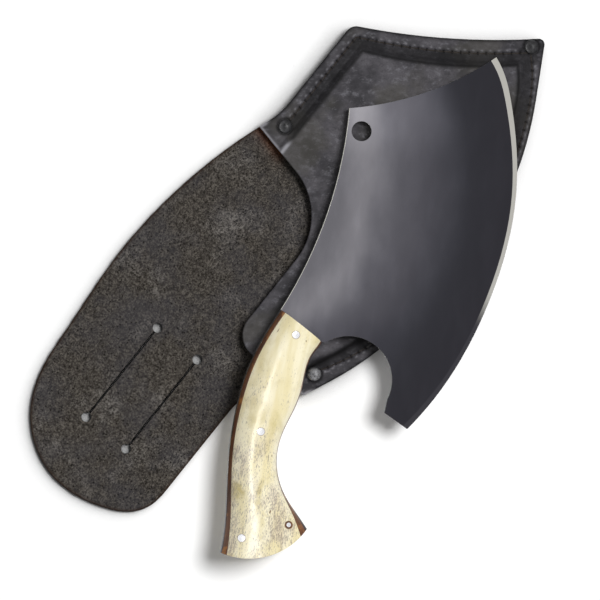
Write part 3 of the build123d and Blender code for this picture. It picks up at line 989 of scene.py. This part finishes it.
studio = {
    "floorSize": 40.0,
    "floorDrop": 0.3 * mm,     # below the sheath's underside
    "floorColour": 0.93,
    "contactReach": 14 * mm,   # how far the darkest part of the shadow reaches from the object
    "contactLean": 45.0,       # degrees, how much it keeps to the side away from the light
    "contactSpan": (0.15, 0.97),
    "floorGlow": 0.10,         # what the floor adds for the eye alone, so that it stays white
    "skyLight": 0.16,
    "keyStrength": 3.02,
    "keySpread": 20.0,         # degrees, how soft the shadows are
    "keyLean": 23.0,           # degrees away from straight above
    "keyFrom": -24.0,          # degrees in plan, where the light comes from
    "sheenSize": (0.9, 2.2),   # a wide panel that only shows as gloss
    "sheenHeight": 3.0,
    "sheenLean": 22.0,         # degrees away from straight above
    "sheenFrom": 138.0,        # degrees in plan
    "sheenPower": 85.0,
    "cameraHeight": 5.0,
    "cameraSensor": 36.0,
    "cameraFar": 100.0,
    "viewWidth": 0.318,        # how much of the floor the camera takes in
    "fromPointRivet": (-181.0 * mm, 11.95 * mm),   # the middle of the view, from the point rivet
    "viewUp": (0.781, 0.625),
}


def eyeRays(tree):   # 1 for what the eye, gloss and glass see, 0 for what lights the object
    path = put(tree, "LightPath").outputs
    seen = calc(tree, "MAXIMUM", path["Is Camera Ray"], path["Is Glossy Ray"])
    return calc(tree, "MAXIMUM", seen, path["Is Transmission Ray"])


def leaning(lean, turn):   # a direction that leans away from straight up
    lean, turn = math.radians(lean), math.radians(turn)
    flat = math.sin(lean)
    return Vector((flat * math.cos(turn), flat * math.sin(turn), math.cos(lean)))


def makeFloor():
    half = studio["floorSize"] / 2
    corners = [(-half, -half, 0), (half, -half, 0), (half, half, 0), (-half, half, 0)]
    mesh = bpy.data.meshes.new("floor")
    mesh.from_pydata(corners, [], [(0, 1, 2, 3)])
    floor = addObject("floor", mesh)
    floor.location.z = cadBounds[0][2] - studio["floorDrop"]
    material, tree, shader = newMaterial("paleFloor", roughness=0.9, specular=0.0)
    # painted shadow: occlusion, turned away from the key light, darkens the floor's colour and glow
    # beside the object
    facing = leaning(studio["contactLean"], studio["keyFrom"])
    around = openness(tree, studio["contactReach"], *studio["contactSpan"], facing)
    colourFrom(tree, shader, times(tree, around, studio["floorColour"]))
    shader.inputs["Emission Color"].default_value = (1, 1, 1, 1)
    glow = times(tree, times(tree, eyeRays(tree), around), studio["floorGlow"])
    tree.links.new(glow, shader.inputs["Emission Strength"])
    mesh.materials.append(material)


def makeWorld():
    world = bpy.data.worlds.new("studioWorld")
    bpy.context.scene.world = world
    world.use_nodes = True
    tree = world.node_tree
    background = tree.nodes["Background"]
    background.inputs["Color"].default_value = (1, 1, 1, 1)
    strength = put(tree, "MapRange", {"Value": eyeRays(tree), "To Min": studio["skyLight"]})
    tree.links.new(strength.outputs["Result"], background.inputs["Strength"])


def makeLights():
    key = bpy.data.lights.new("keyLight", "SUN")
    key.energy = studio["keyStrength"]
    key.angle = math.radians(studio["keySpread"])
    lamp = addObject("keyLight", key)
    source = leaning(studio["keyLean"], studio["keyFrom"])
    lamp.rotation_euler = source.to_track_quat("Z", "Y").to_euler()
    lamp.visible_glossy = False
    sheen = bpy.data.lights.new("sheenLight", "AREA")
    sheen.shape = "RECTANGLE"
    sheen.size, sheen.size_y = studio["sheenSize"]
    sheen.energy = studio["sheenPower"]
    lamp = addObject("sheenLight", sheen)
    lamp.visible_diffuse = False
    source = leaning(studio["sheenLean"], studio["sheenFrom"])
    across = Vector((*studio["viewUp"], 0)).cross(source).normalized()
    along = source.cross(across)
    turned = Matrix((across, along, source)).transposed().to_4x4()
    lamp.matrix_world = Matrix.Translation(source * studio["sheenHeight"]) @ turned


def makeCamera():
    rivetPlace = middleOf("rivet_cap_point")
    middle = [rivetPlace[axis] + studio["fromPointRivet"][axis] for axis in (0, 1)]
    data = bpy.data.cameras.new("camera")
    data.sensor_width = studio["cameraSensor"]
    data.lens = data.sensor_width * studio["cameraHeight"] / studio["viewWidth"]
    data.clip_end = studio["cameraFar"]
    camera = addObject("camera", data)
    up = Vector((*studio["viewUp"], 0)).normalized()
    right = up.cross(Vector((0, 0, 1)))
    camera.matrix_world = Matrix((
        (right.x, up.x, 0, middle[0]),
        (right.y, up.y, 0, middle[1]),
        (0, 0, 1, studio["cameraHeight"]),
        (0, 0, 0, 1),
    ))
    bpy.context.scene.camera = camera


makeFloor()
makeWorld()
makeLights()
makeCamera()
bpy.context.scene.view_settings.view_transform = "Standard"
print("studio ready")
